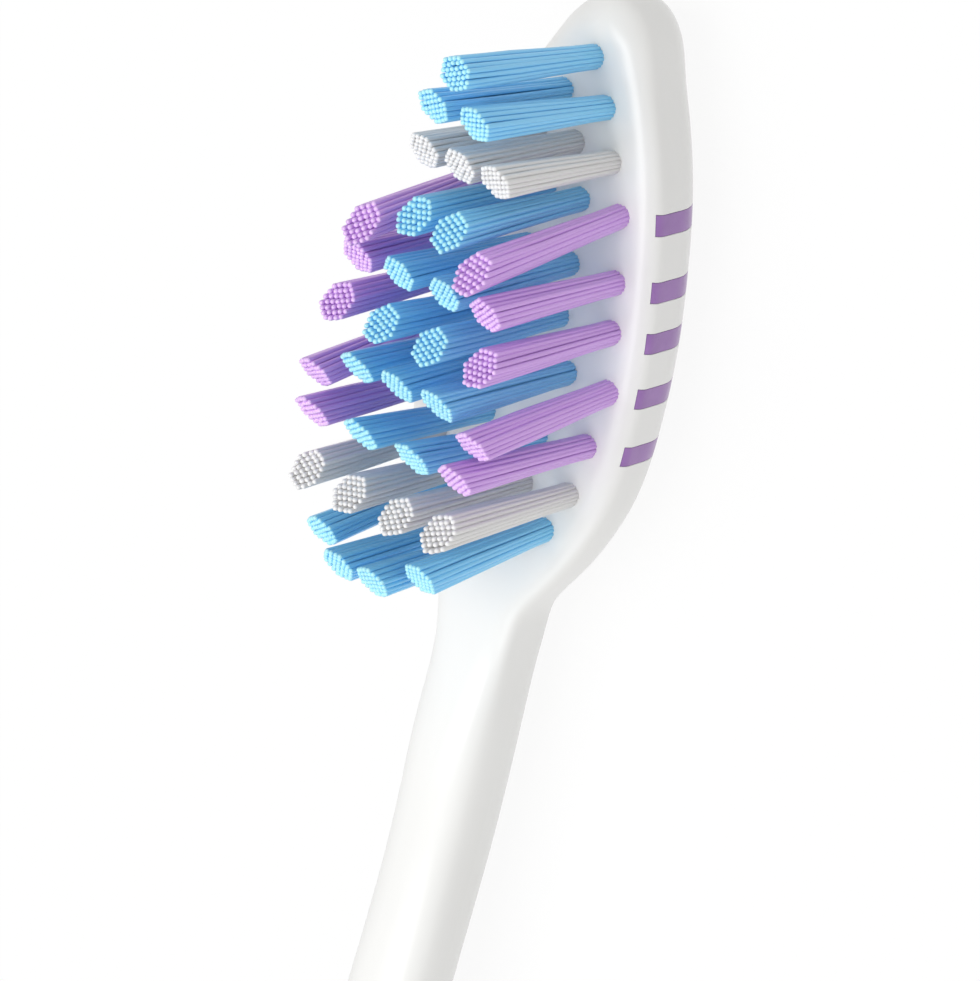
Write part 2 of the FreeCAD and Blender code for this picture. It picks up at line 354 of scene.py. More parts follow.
class MaterialWiring(Wiring):
    """Nodes of one material, with noise, ramps and relief in the object's own space."""

    def __init__(self, name: str) -> None:
        """Start an empty node material.

        Args:
            name: the material's name.
        """
        self.material = bpy.data.materials.new(name)
        self.material.use_nodes = True
        super().__init__(self.material.node_tree)
        self.coordinates = self.add("ShaderNodeTexCoord")

    def noise(self, scale: float, detail: float, roughness: float = 0.5) -> bpy.types.NodeSocket:
        """Noise in the object's own space.

        Args:
            scale: bumps for each metre.
            detail: octaves.
            roughness: weight of the finer octaves.

        Returns:
            The noise's value.
        """
        node = self.add("ShaderNodeTexNoise", Scale=scale, Detail=detail, Roughness=roughness)
        self.link(self.coordinates.outputs["Object"], node.inputs["Vector"])
        return node.outputs["Fac"]

    def ramp(self, value: bpy.types.NodeSocket, places: Sequence[float],
             colours: Sequence[Colour]) -> bpy.types.NodeSocket:
        """Colour that follows a value.

        Args:
            value: what is read.
            places: value of each stop.
            colours: colour of each stop.

        Returns:
            The colour.
        """
        node = self.add("ShaderNodeValToRGB")
        elements = node.color_ramp.elements
        while len(elements) < len(places):
            elements.new(0.5)
        for element, place, colour in zip(elements, places, colours):
            element.position = place
            element.color = (*colour, 1.0)
        self.link(value, node.inputs["Fac"])
        return node.outputs["Color"]

    def levels(self, value: bpy.types.NodeSocket, places: Sequence[float],
               ends: Sequence[float]) -> bpy.types.NodeSocket:
        """Grey level that follows a value.

        Args:
            value: what is read.
            places: value of each stop.
            ends: level of each stop.

        Returns:
            The level.
        """
        return self.ramp(value, places, [(end, end, end) for end in ends])

    def bump(self, value: bpy.types.NodeSocket, depth: float) -> bpy.types.NodeSocket:
        """Fine relief from a value.

        Args:
            value: height as a share.
            depth: height of 1 in metres.

        Returns:
            The normal.
        """
        node = self.add("ShaderNodeBump", Strength=1.0, Distance=depth)
        self.link(value, node.inputs["Height"])
        return node.outputs["Normal"]

    def surface(self, shader: bpy.types.Node,
                **values: bpy.types.NodeSocket) -> bpy.types.Material:
        """Close the material with its shader.

        Args:
            shader: the last shader node.
            values: what is linked to its inputs, by their names with _ for a space.

        Returns:
            The material.
        """
        for name, value in values.items():
            self.link(value, shader.inputs[name.replace("_", " ")])
        output = self.add("ShaderNodeOutputMaterial")
        self.link(shader.outputs[0], output.inputs["Surface"])
        return self.material


@dataclass(frozen=True)
class MouldedPlastic:
    """Glossy white plastic with the faint unevenness of a moulding."""

    colour: Colour = (0.82, 0.82, 0.806)
    low_colour: Colour = (0.80, 0.80, 0.786)
    colour_places: tuple[float, float] = (0.3, 0.6)
    roughness: tuple[float, float] = (0.30, 0.34)
    roughness_places: tuple[float, float] = (0.1, 0.9)
    waviness_scale: float = 90.0
    grain_scale: float = 420.0
    noise_detail: float = 2.0
    waviness_depth: float = 0.00001
    ior: float = 1.46
    coat: float = 0.15
    coat_roughness: float = 0.2

    def material(self) -> bpy.types.Material:
        """Build the node material.

        Returns:
            The finish as a material.
        """
        nodes = MaterialWiring("white_plastic")
        waves = nodes.noise(self.waviness_scale, self.noise_detail)
        grain = nodes.noise(self.grain_scale, self.noise_detail)
        shader = nodes.add("ShaderNodeBsdfPrincipled", IOR=self.ior, Coat_Weight=self.coat,
                           Coat_Roughness=self.coat_roughness)
        colour = nodes.ramp(waves, self.colour_places, (self.low_colour, self.colour))
        roughness = nodes.levels(grain, self.roughness_places, self.roughness)
        relief = nodes.bump(waves, self.waviness_depth)
        return nodes.surface(shader, Base_Color=colour, Roughness=roughness, Normal=relief)


@dataclass(frozen=True)
class SoftElastomer:
    """Satin purple elastomer with a fine matt texture."""

    colour: Colour = (0.278, 0.132, 0.392)
    light_colour: Colour = (0.322, 0.160, 0.446)
    colour_places: tuple[float, float] = (0.35, 0.7)
    roughness: tuple[float, float] = (0.27, 0.36)
    roughness_places: tuple[float, float] = (0.3, 0.7)
    mottle_scale: float = 700.0
    mottle_detail: float = 3.0
    grain_scale: float = 6000.0
    grain_detail: float = 4.0
    grain_roughness: float = 0.65
    grain_depth: float = 0.000008
    ior: float = 1.50
    coat: float = 0.25
    coat_roughness: float = 0.18
    sheen: float = 0.2
    sheen_roughness: float = 0.3

    def material(self) -> bpy.types.Material:
        """Build the node material.

        Returns:
            The finish as a material.
        """
        nodes = MaterialWiring("purple_elastomer")
        mottle = nodes.noise(self.mottle_scale, self.mottle_detail)
        grain = nodes.noise(self.grain_scale, self.grain_detail, self.grain_roughness)
        shader = nodes.add("ShaderNodeBsdfPrincipled", IOR=self.ior, Coat_Weight=self.coat,
                           Coat_Roughness=self.coat_roughness, Sheen_Weight=self.sheen,
                           Sheen_Roughness=self.sheen_roughness)
        colour = nodes.ramp(mottle, self.colour_places, (self.colour, self.light_colour))
        roughness = nodes.levels(grain, self.roughness_places, self.roughness)
        relief = nodes.bump(grain, self.grain_depth)
        return nodes.surface(shader, Base_Color=colour, Roughness=roughness, Normal=relief)


@dataclass(frozen=True)
class BristleNylon:
    """Drawn filament with its own colour along root and shank, and a lighter tip colour that is a
    painted highlight on its rounded tip.
    """

    name: str
    root: Colour
    shank: Colour
    tip: Colour
    shank_starts: float = 0.45
    # From tip_starts to tip_full the colour turns to the lighter tip colour, a painted highlight on
    # the rounded tip
    tip_starts: float = 0.9
    tip_full: float = 0.935
    shade_spread: float = 0.06
    roughness: float = 0.34
    streak_scale: float = 9000.0
    streak_detail: float = 2.0
    streak_depth: float = 0.000003
    ior: float = 1.53
    coat: float = 0.1

    def material(self) -> bpy.types.Material:
        """Build the node material.

        Returns:
            The finish as a material.
        """
        nodes = MaterialWiring(self.name)
        reach = nodes.add("ShaderNodeAttribute", attribute_name="reach")
        shade = nodes.add("ShaderNodeAttribute", attribute_name="shade")
        # Colour along the filament; its last, lighter stop is a painted highlight on the tip
        along = nodes.ramp(reach.outputs["Fac"],
                           (0.0, self.shank_starts, self.tip_starts, self.tip_full),
                           (self.root, self.shank, self.shank, self.tip))
        brightness = nodes.levels(shade.outputs["Fac"], (0.0, 1.0), (1 - self.shade_spread, 1.0))
        colour = nodes.add("ShaderNodeMix", data_type="RGBA", blend_type="MULTIPLY", Factor=1.0)
        nodes.link(along, colour.inputs[MIX_FIRST])
        nodes.link(brightness, colour.inputs[MIX_LAST])
        shader = nodes.add("ShaderNodeBsdfPrincipled", IOR=self.ior, Roughness=self.roughness,
                           Coat_Weight=self.coat)
        streaks = nodes.noise(self.streak_scale, self.streak_detail)
        return nodes.surface(shader, Base_Color=colour.outputs[MIX_RESULT],
                             Normal=nodes.bump(streaks, self.streak_depth))


@dataclass(frozen=True)
class FlatWire:
    """Bright drawn brass of the anchor plates."""

    colour: Colour = (0.62, 0.45, 0.16)
    dull_colour: Colour = (0.48, 0.34, 0.13)
    colour_places: tuple[float, float] = (0.35, 0.65)
    roughness: tuple[float, float] = (0.22, 0.38)
    roughness_places: tuple[float, float] = (0.3, 0.7)
    drawn_scale: float = 3500.0
    drawn_detail: float = 4.0
    drawn_roughness: float = 0.7
    drawn_depth: float = 0.000003

    def material(self) -> bpy.types.Material:
        """Build the node material.

        Returns:
            The finish as a material.
        """
        nodes = MaterialWiring("anchor_metal")
        drawn = nodes.noise(self.drawn_scale, self.drawn_detail, self.drawn_roughness)
        shader = nodes.add("ShaderNodeBsdfPrincipled", Metallic=1.0)
        colour = nodes.ramp(drawn, self.colour_places, (self.dull_colour, self.colour))
        roughness = nodes.levels(drawn, self.roughness_places, self.roughness)
        relief = nodes.bump(drawn, self.drawn_depth)
        return nodes.surface(shader, Base_Color=colour, Roughness=roughness, Normal=relief)


# Each tip colour is lighter than its shank: a painted highlight on the rounded tips
BRISTLES = {
    BristleColour.BLUE: BristleNylon("blue_bristle", root=(0.240, 0.675, 1.000),
                                     shank=(0.232, 0.650, 1.000), tip=(0.440, 0.850, 0.950)),
    BristleColour.PURPLE: BristleNylon("purple_bristle", root=(0.665, 0.385, 0.870),
                                       shank=(0.655, 0.375, 0.850), tip=(0.800, 0.545, 0.930)),
    BristleColour.WHITE: BristleNylon("white_bristle", root=(0.755, 0.750, 0.750),
                                      shank=(0.755, 0.750, 0.750), tip=(0.865, 0.865, 0.865)),
}


# Head, neck and handle


@dataclass
class Section:
    """One upright slice of the moulding, in millimetres."""

    y: float
    half_width: float
    low: float
    high: float
    top_inset: float
    top_drop: float
    back_inset: float
    back_rise: float
    roundness: float


@dataclass
class Skin:
    """Outer form of head, neck and handle in one run of sections, in millimetres.

    The head's outline has pairs of distance from the toe as a share of head_length and half width
    as a share of half of head_width. Its first mirrored_points are mirrored past the toe, which
    rounds the spline there, and the crease carries it on to the neck, up to the handle's station
    crease_stations. The stations have their place as a share of the run from the neck's root to
    the tail, the width as a share of the way from neck_width to grip_width, the underside of that
    from neck_low to rest_low, and the top of that from neck_high to grip_high. A run has the
    distances from the toe where a change starts and ends.
    """

    length: float = 188.0
    face_height: float = 7.6
    head_length: float = 34.6
    head_width: float = 13.8
    head_thickness: float = 5.4
    head_taper: float = 0.65
    head_roundness: float = 2.0
    rim_width: float = 1.45
    rim_drop: float = 1.0
    rim_narrowing: float = 0.8
    toe_rim_width: float = 2.3
    toe_rim_drop: float = 1.55
    toe_rim_run: tuple[float, float] = (0.0, 5.5)
    back_round_width: float = 3.2
    back_round_height: float = 2.9
    neck_width: float = 4.6
    neck_low: float = 3.0
    neck_high: float = 7.7
    neck_root_place: float = 29.6
    grip_width: float = 12.6
    grip_high: float = 11.6
    rest_low: float = -0.15
    tail_round: float = 2.4
    handle_roundness: float = 2.75
    head_round_share: float = 0.9
    handle_round_share: float = 0.96
    handle_drop_share: float = 0.99
    least_drop: float = 0.02
    neck_run: tuple[float, float] = (31.0, 36.2)
    neck_round_run: tuple[float, float] = (31.0, 46.0)
    neck_underside_run: tuple[float, float] = (29.0, 35.5)
    toe_step: float = 0.30
    toe_step_run: tuple[float, float] = (0.0, 5.0)
    head_step: float = 0.45
    handle_step: float = 1.6
    handle_step_run: tuple[float, float] = (48.0, 60.0)
    tail_step: float = 0.3
    tail_step_rounds: int = 3
    round_cells: int = 9
    flat_cells: int = 7
    wall_cells: int = 4
    mirrored_points: int = 4
    crease_stations: int = 3
    head_outline_shares: tuple[tuple[float, float], ...] = (
        (0.0, 0.0), (0.030, 0.285), (0.085, 0.440), (0.165, 0.612), (0.262, 0.780), (0.370, 0.896),
        (0.500, 0.983), (0.630, 1.000), (0.735, 0.953), (0.820, 0.818), (0.890, 0.642),
        (0.938, 0.486))
    crease_shares: tuple[tuple[float, float], ...] = (
        (0.966, 0.412), (0.992, 0.380), (1.030, 0.353))
    handle_shares: tuple[tuple[float, float, float, float], ...] = (
        (0.000, -0.04, 0.12, -0.06), (0.025, 0.00, 0.15, -0.06), (0.040, 0.04, 0.17, -0.09),
        (0.070, 0.03, 0.13, 0.03), (0.116, 0.03, 0.07, 0.09), (0.168, 0.045, -0.20, 0.26),
        (0.255, 0.16, -0.26, 0.56), (0.331, 0.47, 0.38, 0.80), (0.394, 0.82, 0.94, 0.97),
        (0.482, 1.00, 1.00, 1.00), (0.571, 0.90, 1.00, 0.83), (0.665, 0.82, 1.00, 0.72),
        (0.773, 0.92, 1.00, 0.72), (0.886, 0.82, 1.00, 0.54), (0.962, 0.66, 1.00, 0.36),
        (1.000, 0.54, 0.97, 0.24))
    handle: SmoothTable = field(init=False)
    outline: SmoothTable = field(init=False)
    outline_travel: float = field(init=False)

    def __post_init__(self) -> None:
        """Solve the splines of the handle's swell and of the whole outline."""
        self.handle = SmoothTable([row[0] for row in self.handle_shares],
                                  [row[1:] for row in self.handle_shares])
        points = [(place * self.head_length, width * self.head_width / 2)
                  for place, width in self.head_outline_shares + self.crease_shares]
        run = self.length - self.neck_root_place
        for place, width, _, _ in self.handle_shares[self.crease_stations:]:
            points.append((self.neck_root_place + place * run,
                           mix(self.neck_width, self.grip_width, width) / 2))
        mirrored = [(place, -width) for place, width in points[self.mirrored_points:0:-1]]
        chain = mirrored + points
        travel = [0.0]
        for before, after in zip(chain, chain[1:]):
            travel.append(travel[-1] + math.dist(before, after))
        start = travel[len(mirrored)]
        self.outline = SmoothTable([value - start for value in travel], chain)
        self.outline_travel = travel[-1] - start

    def along(self, distance: float) -> float:
        """Place on the length axis for a distance from the toe."""
        return self.length / 2 - distance

    def travels(self) -> list[float]:
        """Places of the sections, measured along the outline.

        Returns:
            Rising travel values from toe to tail.
        """
        places = [0.0]
        while places[-1] < self.outline_travel:
            step = mix(self.toe_step, self.head_step, eased(places[-1], *self.toe_step_run))
            step = mix(step, self.handle_step, eased(places[-1], *self.handle_step_run))
            if self.outline_travel - places[-1] < self.tail_step_rounds * self.tail_round:
                step = self.tail_step
            places.append(min(self.outline_travel, places[-1] + step))
        return places

    def section(self, travel: float, outset: float) -> Section:
        """Slice of the moulding at a travel along its outline.

        Args:
            travel: distance along the outline from the toe.
            outset: how far the form is grown all round.

        Returns:
            The slice.
        """
        distance, half_width = self.outline.at(travel)
        distance = min(max(distance, 0.0), self.length)
        run = self.length - self.neck_root_place
        share = max(0.0, (distance - self.neck_root_place) / run)
        _, low_share, high_share = self.handle.at(share)
        handle_low = mix(self.neck_low, self.rest_low, low_share)
        handle_high = mix(self.neck_high, self.grip_high, high_share)
        to_side = eased(distance, *self.toe_rim_run)
        rim_width = mix(self.toe_rim_width, self.rim_width, to_side)
        rim_drop = mix(self.toe_rim_drop, self.rim_drop, to_side)
        wall_high = self.face_height - rim_drop
        taper = self.head_taper * (min(1.0, distance / self.head_length) - 0.5)
        wall_low = self.face_height - self.head_thickness + self.back_round_height + taper
        head_high = wall_high + rim_drop * self.quarter(distance, rim_width)
        head_low = wall_low - self.back_round_height * self.quarter(distance, self.back_round_width)
        to_neck = eased(distance, *self.neck_run)
        to_round = eased(distance, *self.neck_round_run)
        high = mix(head_high, handle_high, to_neck)
        low = mix(head_low, handle_low, eased(distance, *self.neck_underside_run))
        tail = self.tail_inset(distance)
        half_width = max(0.0, half_width) + outset - tail
        high += outset - tail
        low += tail - outset
        half_height = (high - low) / 2
        narrowing = mix(self.rim_narrowing, 1.0, half_width / self.head_width * 2)
        widest_round = self.head_round_share * half_width
        neck_inset = self.handle_round_share * half_width
        neck_drop = self.handle_drop_share * half_height
        top_inset = mix(min(rim_width * narrowing, widest_round), neck_inset, to_round)
        top_drop = mix(max(high - wall_high - outset, self.least_drop), neck_drop, to_round)
        back_inset = mix(min(self.back_round_width, widest_round), neck_inset, to_neck)
        back_rise = mix(max(wall_low - low - outset, self.least_drop), neck_drop, to_neck)
        return Section(self.along(distance), half_width, low, high, top_inset, top_drop,
                       back_inset, back_rise,
                       mix(self.head_roundness, self.handle_roundness, to_neck))

    @staticmethod
    def quarter(distance: float, width: float) -> float:
        """Height share of a quarter round of a given width, reached at a distance into it."""
        inside = min(1.0, max(0.0, distance / width))
        return math.sqrt(1 - (1 - inside) ** 2)

    def tail_inset(self, distance: float) -> float:
        """How far the rounded tail draws in at a distance from the toe."""
        into = max(0.0, distance - (self.length - self.tail_round)) / self.tail_round
        return self.tail_round * (1 - math.sqrt(max(0.0, 1 - into * into)))

    def half_profile(self, cut: Section) -> list[tuple[float, float]]:
        """Right half of a slice from the middle of its top to the middle of its underside.

        Args:
            cut: the slice.

        Returns:
            Points as distance from the middle and height.
        """
        power = 2 / cut.roundness
        turns = [math.pi / 2 * i / self.round_cells for i in range(self.round_cells + 1)]
        wall_top = cut.high - cut.top_drop
        wall_low = cut.low + cut.back_rise
        points = []
        for i in range(self.flat_cells):
            points.append(((cut.half_width - cut.top_inset) * i / self.flat_cells, cut.high))
        for turn in turns:
            points.append((cut.half_width - cut.top_inset * (1 - math.sin(turn) ** power),
                           cut.high - cut.top_drop * (1 - math.cos(turn) ** power)))
        for i in range(1, self.wall_cells):
            points.append((cut.half_width, mix(wall_top, wall_low, i / self.wall_cells)))
        for turn in turns:
            points.append((cut.half_width - cut.back_inset * (1 - math.cos(turn) ** power),
                           wall_low - cut.back_rise * math.sin(turn) ** power))
        for i in range(1, self.flat_cells + 1):
            points.append(((cut.half_width - cut.back_inset) * (1 - i / self.flat_cells), cut.low))
        return points

    def form(self, outset: float = 0.0) -> bmesh.types.BMesh:
        """Closed form of the moulding, grown all round by the outset.

        Args:
            outset: growth in millimetres, negative to shrink.

        Returns:
            The form, cut flat at the rest surface.
        """
        profiles = []
        for travel in self.travels():
            cut = self.section(travel, outset)
            profiles.append((cut.y, self.half_profile(cut)))
        half = len(profiles[0][1]) - 1

        def place(around: float, along: float) -> Vector:
            """Point of the skin.

            Args:
                around: share of the way round a slice.
                along: share of the slices from toe to tail.

            Returns:
                The point.
            """
            y, points = profiles[round(along * (len(profiles) - 1))]
            i = round(around * 2 * half)
            side = 1
            if i > half:
                i = 2 * half - i
                side = -1
            x, z = points[i]
            return Vector((side * max(x, 0.0), y, max(z, -outset)))

        return shaped_grid(2 * half, len(profiles) - 1, place)


@dataclass
class TuftSpot:
    """One tuft: its CAD node, root, tip, cut end's rise towards the toe and colour."""

    node: str
    root: Vector
    tip: Vector
    cut_rise: float
    colour: BristleColour

    def turn(self) -> Quaternion:
        """Turn from upright to the tuft's lean."""
        return Vector((0, 0, 1)).rotation_difference(self.tip - self.root)


@dataclass
class TuftField:
    """The head's tufts, each a folded bundle of filaments with rounded tips, in millimetres.

    Each row has the rise of its cut ends for a run of 1 towards the toe, and its tufts from the
    middle to the right. A tuft has its distance from the middle as a share of half of head_width,
    its distance from the toe as a share of head_length, the way from its root to its tip outwards,
    towards the toe and up as shares of bristle_height, and its colour.
    """

    skin: Skin
    bristle_height: float = 11.0
    root_diameter: float = 1.22
    tip_diameter: float = 1.94
    hole_overlap: float = 0.03
    hole_depth: float = 3.3
    hole_segments: int = 28
    drill_overrun: float = 1.0
    foot_rise: float = 0.4
    filament_rings: int = 3
    filament_sides: int = 8
    filament_heights: tuple[float, ...] = (0.35, 0.7, 1.0, 1.38, 1.74)
    edge_rings: float = 0.5
    bow: float = 0.030
    tip_wander: float = 0.012
    shank_reach: float = 0.9
    dome_share: float = 0.6
    tip_unevenness: float = 0.02
    thickening: float = 1.22
    tip_gap_starts: float = 0.90
    tip_roundness: float = 0.25
    sharp_degrees: float = 80.0
    first_seed: int = 11
    row_shares: tuple[tuple[float, tuple[TuftShares, ...]], ...] = (
        (0.08, ((0.0, 0.092, 0.0, 0.064, 1.08, "blue"),)),
        (0.60, ((0.196, 0.157, -0.005, 0.062, 1.02, "blue"),)),
        (0.66, ((0.0, 0.225, 0.0, 0.013, 0.89, "white"),
                (0.347, 0.231, -0.012, 0.031, 0.89, "white"))),
        (-0.80, ((0.154, 0.303, 0.006, -0.004, 1.01, "blue"),
                 (0.519, 0.303, -0.007, -0.110, 1.09, "purple"))),
        (0.74, ((0.190, 0.402, 0.013, 0.014, 0.99, "blue"),
                (0.612, 0.401, -0.013, 0.004, 0.99, "purple"))),
        (-0.76, ((0.198, 0.484, 0.017, 0.028, 1.03, "blue"),
                 (0.673, 0.475, -0.006, 0.000, 1.01, "purple"))),
        (1.04, ((0.0, 0.556, 0.0, 0.000, 1.01, "blue"),
                (0.377, 0.562, -0.003, 0.017, 1.01, "blue"),
                (0.762, 0.564, -0.018, -0.090, 1.00, "purple"))),
        (1.04, ((0.250, 0.673, -0.005, 0.064, 0.99, "blue"),
                (0.688, 0.657, -0.012, 0.025, 1.02, "purple"))),
        (-0.78, ((0.216, 0.753, 0.002, 0.027, 1.00, "white"),
                 (0.632, 0.740, -0.008, 0.007, 1.01, "white"))),
        (0.86, ((0.161, 0.853, 0.0, 0.000, 1.02, "blue"),
                (0.487, 0.809, -0.014, -0.063, 0.93, "blue"))),
    )

    def spots(self) -> list[TuftSpot]:
        """Every tuft of the head.

        Returns:
            The tufts, row by row from the toe and from left to right.
        """
        found = []
        for row_number, (cut_rise, entries) in enumerate(self.row_shares, start=1):
            row = []
            for side_share, place_share, out_share, toe_share, height_share, colour in entries:
                for side in ((0,) if side_share == 0 else (-1, 1)):
                    x = side * side_share * self.skin.head_width / 2
                    y = self.skin.along(place_share * self.skin.head_length)
                    root = Vector((x, y, self.skin.face_height))
                    rise = Vector((side * out_share, toe_share, height_share)) * self.bristle_height
                    row.append((x, root, root + rise, BristleColour(colour)))
            row.sort(key=lambda entry: entry[0])
            for letter, (_, root, tip, colour) in zip("abcdefgh", row):
                node = "tuft_%02d%s_%s" % (row_number, letter, colour.value)
                found.append(TuftSpot(node, root, tip, cut_rise, colour))
        return found

    def hole_tools(self) -> bpy.types.Object:
        """Drills of all the holes as one object.

        Returns:
            The drills, one closed cylinder for each tuft.
        """
        bm = bmesh.new()
        radius = self.root_diameter / 2 - self.hole_overlap
        middle = Matrix.Translation((0, 0, (self.drill_overrun - self.hole_depth) / 2))
        for spot in self.spots():
            turned = spot.turn().to_matrix().to_4x4()
            bmesh.ops.create_cone(bm, cap_ends=True, cap_tris=False, segments=self.hole_segments,
                                  radius1=radius, radius2=radius,
                                  depth=self.drill_overrun + self.hole_depth,
                                  matrix=Matrix.Translation(spot.root) @ turned @ middle)
        return object_of("hole_tools", bm)

    def packing(self, start: float, roundness: float) -> list[Vector]:
        """Places of the filaments in a bundle as shares of its outer ring's reach.

        Args:
            start: angle of the first corner of the honeycomb.
            roundness: 0 for a true honeycomb, 1 for round rings.

        Returns:
            A place across the bundle for each filament.
        """
        # The six corners of a honeycomb, and the first again
        turns = [start + side * math.pi / 3 for side in range(7)]
        corners = [Vector((math.cos(turn), math.sin(turn))) for turn in turns]
        places = [Vector((0, 0, 0))]
        for ring in range(1, self.filament_rings + 1):
            for corner, after in zip(corners, corners[1:]):
                for step in range(ring):
                    spot = corner.lerp(after, step / ring) * ring / self.filament_rings
                    rounding = mix(1.0, ring / self.filament_rings / spot.length, roundness)
                    places.append(Vector((spot.x * rounding, spot.y * rounding, 0)))
        return places

    def filament(self) -> bmesh.types.BMesh:
        """One filament of unit length as rings of points, closed by its rounded tip.

        Returns:
            A tube round the height axis: heights 0 to 1 are the shank, 1 to 2 the rounded tip.
        """
        bm = bmesh.new()
        bmesh.ops.create_circle(bm, cap_ends=True, segments=self.filament_sides, radius=1.0)
        ring = bm.edges[:]
        bmesh.ops.reverse_faces(bm, faces=bm.faces)
        for height in self.filament_heights:
            grown = bmesh.ops.extrude_edge_only(bm, edges=ring)["geom"]
            verts = [item for item in grown if isinstance(item, bmesh.types.BMVert)]
            ring = [item for item in grown if isinstance(item, bmesh.types.BMEdge)]
            for vert in verts:
                vert.co.z = height
        cap = bmesh.ops.extrude_edge_only(bm, edges=ring)["geom"]
        verts = [item for item in cap if isinstance(item, bmesh.types.BMVert)]
        bmesh.ops.pointmerge(bm, verts=verts, merge_co=(0, 0, 2))
        bmesh.ops.recalc_face_normals(bm, faces=bm.faces)
        return bm

    def bundle(self, spot: TuftSpot, pattern: bpy.types.Mesh, seed: int) -> bpy.types.Object:
        """Filaments of one tuft.

        Args:
            spot: where the tuft stands.
            pattern: the unit filament.
            seed: seed of its irregularities.

        Returns:
            The tuft.
        """
        draw = random.Random(seed)
        bm = bmesh.new()
        reach_layer = bm.verts.layers.float.new("reach")
        shade_layer = bm.verts.layers.float.new("shade")
        length = (spot.tip - spot.root).length
        turn = spot.turn()
        rings_across = self.filament_rings + self.edge_rings
        root_radius = self.root_diameter / 2 / rings_across / 2
        tip_radius = self.tip_diameter / 2 / rings_across / 2
        reach_root = self.root_diameter / 2 - root_radius
        reach_tip = self.tip_diameter / 2 - tip_radius
        foot_height = self.foot_rise - self.hole_depth
        normal = Vector((0, -spot.cut_rise, 1))
        axis = turn @ Vector((0, 0, 1))
        start = draw.uniform(0, math.pi / 3)
        for foot_share, top_share in zip(self.packing(start, 1.0),
                                         self.packing(start, self.tip_roundness)):
            first = len(bm.verts)
            bm.from_mesh(pattern)
            bm.verts.ensure_lookup_table()
            wander = Vector((draw.gauss(0, self.tip_wander), draw.gauss(0, self.tip_wander), 0))
            foot = foot_share * reach_root
            top = top_share * reach_tip + wander
            bow = Vector((draw.gauss(0, self.bow), draw.gauss(0, self.bow), 0))
            at_tip = spot.root + turn @ (top + Vector((0, 0, length)))
            off_plane = (at_tip - spot.tip).dot(normal) / axis.dot(normal)
            unevenness = abs(draw.gauss(0, self.tip_unevenness))
            own_length = length - off_plane - tip_radius * self.dome_share - unevenness
            shade = draw.random()
            for vert in bm.verts[first:]:
                height = vert.co.z
                shank = min(height, 1.0)
                dome = max(height - 1.0, 0.0)
                dome_turn = dome * math.pi / 2
                z = mix(foot_height, own_length, shank)
                opening = max(z, 0.0) / length
                swell = mix(self.thickening, 1.0, eased(opening, self.tip_gap_starts, 1.0))
                radius = mix(root_radius, tip_radius, opening) * swell
                centre = foot.lerp(top, opening) + bow * math.sin(math.pi * min(1.0, opening))
                spin = Vector((vert.co.x, vert.co.y, 0)) * radius * math.cos(dome_turn)
                z += tip_radius * math.sin(dome_turn)
                vert.co = spot.root + turn @ (centre + spin + Vector((0, 0, z)))
                vert[reach_layer] = self.shank_reach * shank + (1 - self.shank_reach) * dome
                vert[shade_layer] = shade
        return object_of(spot.node + "_filaments", bm, self.sharp_degrees)

    def build(self) -> None:
        """Build and dress every tuft."""
        unit = self.filament()
        pattern = bpy.data.meshes.new("unit_filament")
        unit.to_mesh(pattern)
        unit.free()
        materials = {colour: finish.material() for colour, finish in BRISTLES.items()}
        for seed, spot in enumerate(self.spots(), start=self.first_seed):
            made = self.bundle(spot, pattern, seed)
            finished(made, materials[spot.colour], spot.colour.value + "_bristle", spot.node)
        bpy.data.meshes.remove(pattern)


@dataclass
class CleanerRibs:
    """Soft stripes that lie flush round the side and back of the head, in millimetres."""

    skin: Skin
    width: float = 1.05
    depth: float = 0.55
    start_drop: float = 0.52
    gap: float = 0.03
    overrun: float = 2.0
    place_shares: tuple[float, ...] = (0.299, 0.398, 0.475, 0.561, 0.654)

    def bands(self, gap: float, shares: Sequence[float]) -> bpy.types.Object:
        """Slabs of the head that ribs run in.

        Args:
            gap: how far each slab is widened.
            shares: places of the slabs as shares of the head's length.

        Returns:
            The slabs as one object.
        """
        bm = bmesh.new()
        high = self.skin.face_height - self.start_drop + gap
        low = self.skin.face_height - self.skin.head_thickness - self.overrun
        for share in shares:
            size = Vector((2 * self.skin.head_width, self.width + 2 * gap, high - low))
            y = self.skin.along(share * self.skin.head_length)
            middle = Vector((0, y, (high + low) / 2))
            bmesh.ops.create_cube(bm, size=1.0, matrix=Matrix.LocRotScale(middle, None, size))
        return object_of("rib_bands", bm)

    def pockets(self) -> bpy.types.Object:
        """Pockets of all the ribs as one cutting object."""
        core = object_of("pocket_core", self.skin.form(-self.depth - self.gap))
        return joined(self.bands(self.gap, self.place_shares), core, Joining.CUT)

    def build(self) -> None:
        """Build and dress each rib."""
        material = SoftElastomer().material()
        for number, share in enumerate(self.place_shares, start=1):
            rib = joined(self.bands(0.0, [share]), object_of("head_copy", self.skin.form()),
                         Joining.KEEP_COMMON)
            core = object_of("rib_core", self.skin.form(-self.depth))
            rib = joined(rib, core, Joining.CUT)
            node = "cleaner_rib_%d" % number
            made = object_of(node + "_band", bmesh_of(rib))
            finished(made, material, "purple_elastomer", node)


